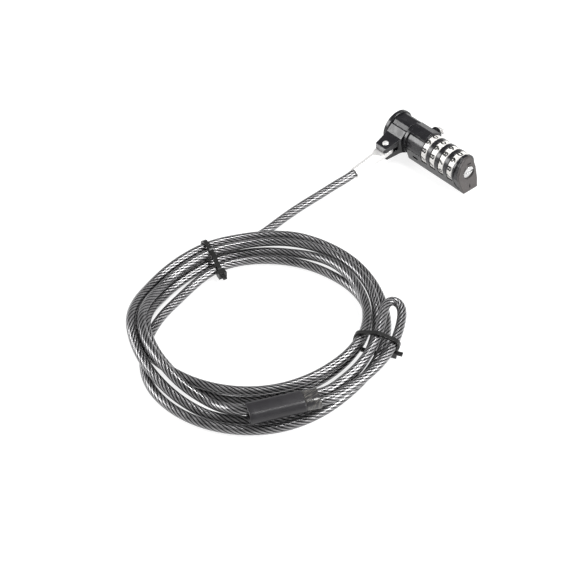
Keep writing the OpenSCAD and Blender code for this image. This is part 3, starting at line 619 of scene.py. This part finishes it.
def flat_figure(figure):
    """One figure as a flat mesh, centred, one unit high."""
    text = bpy.data.curves.new("figure", "FONT")
    text.body, text.size, text.offset = figure, lettering_size, bolder
    text.align_x, text.align_y = "CENTER", "CENTER"
    text.resolution_u = 4
    holder = placed("figure", text)
    bpy.context.view_layer.update()
    drawn = holder.evaluated_get(bpy.context.evaluated_depsgraph_get())
    mesh = bpy.data.meshes.new_from_object(drawn)
    bpy.data.objects.remove(holder)
    return mesh


def on_dial(x, angle):
    """A point of the ink: along the axis, and round it by an angle from the cable side."""
    a = math.radians(angle)
    r = dial_r + ink_lift
    return Vector((x, -r * math.cos(a), axis_h + r * math.sin(a))) * mm


figures = [flat_figure(str(k)) for k in range(10)]
for dial, (x, zero) in enumerate(zip(dial_x, zero_at), 1):
    bm = bmesh.new()
    for k, figure in enumerate(figures):
        angle = zero - figure_turn * ((10 - k) % 10)
        glyph = bmesh.new()
        glyph.from_mesh(figure)
        for level in range(-slices_each_way, slices_each_way + 1):
            bmesh.ops.bisect_plane(glyph, geom=glyph.verts[:] + glyph.edges[:] + glyph.faces[:],
                                   plane_co=(level * slice_w, 0, 0), plane_no=(1, 0, 0))
        for v in glyph.verts:
            up, right = v.co.y * figure_h, v.co.x * figure_h * figure_w
            v.co = on_dial(x - figure_aside - up, angle + math.degrees(right / dial_r))
        shape = bpy.data.meshes.new("shape")
        glyph.to_mesh(shape)
        glyph.free()
        bm.from_mesh(shape)
        bpy.data.meshes.remove(shape)
        middle = angle + figure_turn / 2
        tick = [bm.verts.new(on_dial(x + end * tick_half, middle + side * tick_half_turn))
                for end, side in ((-1, -1), (1, -1), (1, 1), (-1, 1))]
        bm.faces.new(tick).material_index = 1
    for face in bm.faces:
        centre = face.calc_center_median()
        if face.normal.dot(Vector((0, centre.y, centre.z - axis_h * mm))) < 0:
            face.normal_flip()
    ink = piece_of(f"dial_figures_{dial}", bm, figure_ink, tick_ink)
    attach(ink, f"dial_{dial}")
    dress(f"dial_ring_{dial}", dial_silver)
    dress(f"dial_sleeve_{dial}", dial_brass)

# ---------------------------------------------------------------- end ring and button
# The end ring is pressed on the barrel and holds the collar. The push button is moulded
# in smooth black, and slides on the locking shaft against its coil spring.
ring_paint = painted("ring_paint", (0.01, 0.01, 0.012), (0.022, 0.022, 0.024), 0.16, 0.26,
                     wear_and_shade_color=(0.28, 0.28, 0.28), wear_and_shade_amount=0.8)
dress("end_ring", ring_paint)
button_plastic = grained("button_plastic", (0.014, 0.014, 0.016), (0.03, 0.03, 0.033), 0.18, 0.28,
                         grains=1800)
dress("push_button", button_plastic)
turned_steel = metal("turned_steel", (0.52, 0.52, 0.53), (0.7, 0.7, 0.7), 0.16, 0.3,
                     grains=1600, along=(8, 1, 1))
dress("locking_shaft", turned_steel)

# the spring is drawn wire, wound in even curls between the button and the barrel's floor
spring_from, spring_to = -29.3, -18.1
spring_mid_r, spring_wire, spring_curls = 4.35, 0.8, 5
curl_points, wire_sides = 28, 10
spring_line = []
for i in range(spring_curls * curl_points + 1):
    t = i / (spring_curls * curl_points)
    a = 2 * math.pi * spring_curls * t
    x = spring_from + spring_wire / 2 + (spring_to - spring_from - spring_wire) * t
    spring_line.append(Vector((x, spring_mid_r * math.cos(a), axis_h + spring_mid_r * math.sin(a))))
spring = tube("drawn_spring", spring_line, spring_wire / 2, wire_sides, spring_steel)
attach(spring, "housing")
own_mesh(spring)
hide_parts("button_spring")

# ---------------------------------------------------------------- T-bar and its bush
# The T-bar is machined steel, satin plated. Its cross bar goes through the slot in the
# computer and turns a quarter when the button is pressed. The bush that carries it is black.
satin_plate = metal("satin_plate", (0.9, 0.89, 0.88), (0.97, 0.96, 0.95), 0.3, 0.44,
                    grains=900, metallic=0.5)
dress("t_bar", satin_plate)
dress("t_bar_bush", ring_paint)

# ---------------------------------------------------------------- reset screw
# A slotted screw of plated brass sits in a recess of the nose cap. Turned a quarter
# while the code is set, it lets the dials take a new one.
bright_plate = metal("bright_plate", (0.5, 0.5, 0.5), (0.86, 0.86, 0.86), 0.12, 0.32, grains=1400)
dress("reset_screw", bright_plate)

# ---------------------------------------------------------------- swivel collar
# The collar is an eight-sided casting that turns on the barrel, with the two ears of
# the clevis on one side. It has the housing's black paint, and a satin plated rivet.
dress("swivel_collar", black_paint)
dress("rivet", satin_plate)

# ---------------------------------------------------------------- cable ferrule
# A satin plated tube is pressed on the bare end of the rope, and its flattened tongue
# turns on the rivet between the clevis ears.
dress("ferrule", satin_plate)
dress("rope_end", spring_steel)

# ---------------------------------------------------------------- studio
# A white table under soft boxes: it shows white to the lens and in reflections, and keeps
# the soft shadow of the lock. The sky lights the lock from low down more than from above.
table_half, table_below, table_glow = 6, 0.0001, 0.82
table_white, tree, shader = new_material("table_white", (0.36, 0.36, 0.36), 0.85)
seen = put(tree, "ShaderNodeLightPath").outputs
lit = calc(tree, "MAXIMUM", seen["Is Camera Ray"], seen["Is Glossy Ray"])
lit = calc(tree, "MAXIMUM", lit, seen["Is Transmission Ray"])
join(tree, shader, {
    "Specular IOR Level": 0.1,
    "Emission Color": (1, 1, 1, 1),
    "Emission Strength": calc(tree, "MULTIPLY", lit, table_glow),
})
table_mesh = bpy.data.meshes.new("floor")
table_mesh.from_pydata(
    [(sx * table_half, sy * table_half, 0) for sx, sy in ((-1, -1), (1, -1), (1, 1), (-1, 1))],
    [], [(0, 1, 2, 3)])
table_mesh.materials.append(table_white)
table = placed("floor", table_mesh)
table.location.z = -table_below

sky_low, sky_high = 0.9, 0.2
world = bpy.data.worlds.new("studio")
bpy.context.scene.world = world
world.use_nodes = True
tree = world.node_tree
tree.nodes.clear()
seen = put(tree, "ShaderNodeLightPath").outputs
lit = calc(tree, "MAXIMUM", seen["Is Camera Ray"], seen["Is Transmission Ray"])
rise = put(tree, "ShaderNodeSeparateXYZ", {
    "Vector": put(tree, "ShaderNodeTexCoord").outputs["Generated"]}).outputs["Z"]
sky = put(tree, "ShaderNodeBackground", {
    "Color": (1, 1, 1, 1),
    "Strength": calc(tree, "MAXIMUM", lit, spread(tree, rise, 0, 0.5, sky_low, sky_high)),
})
put(tree, "ShaderNodeOutputWorld", {"Surface": sky.outputs["Background"]})

lamps_aim = Vector((0.03, -0.1, 0))


def soft_box(name, way, far, size, power):
    """A square lamp that looks at the middle of the lock from a direction."""
    lamp = placed(name, bpy.data.lights.new(name, "AREA"))
    lamp.data.shape, lamp.data.size, lamp.data.energy = "SQUARE", size, power
    way = Vector(way).normalized()
    lamp.location = lamps_aim + way * far
    lamp.rotation_mode = "QUATERNION"
    lamp.rotation_quaternion = (-way).to_track_quat("-Z", "Y")


soft_box("box_left", (-0.6, -0.62, 0.46), far=1.4, size=0.7, power=13)
soft_box("box_right", (0.78, 0.46, 0.46), far=1.4, size=0.6, power=17)
soft_box("box_top", (0, 0.35, 0.94), far=1.6, size=0.4, power=12)
bpy.context.scene.view_settings.view_transform = "Standard"
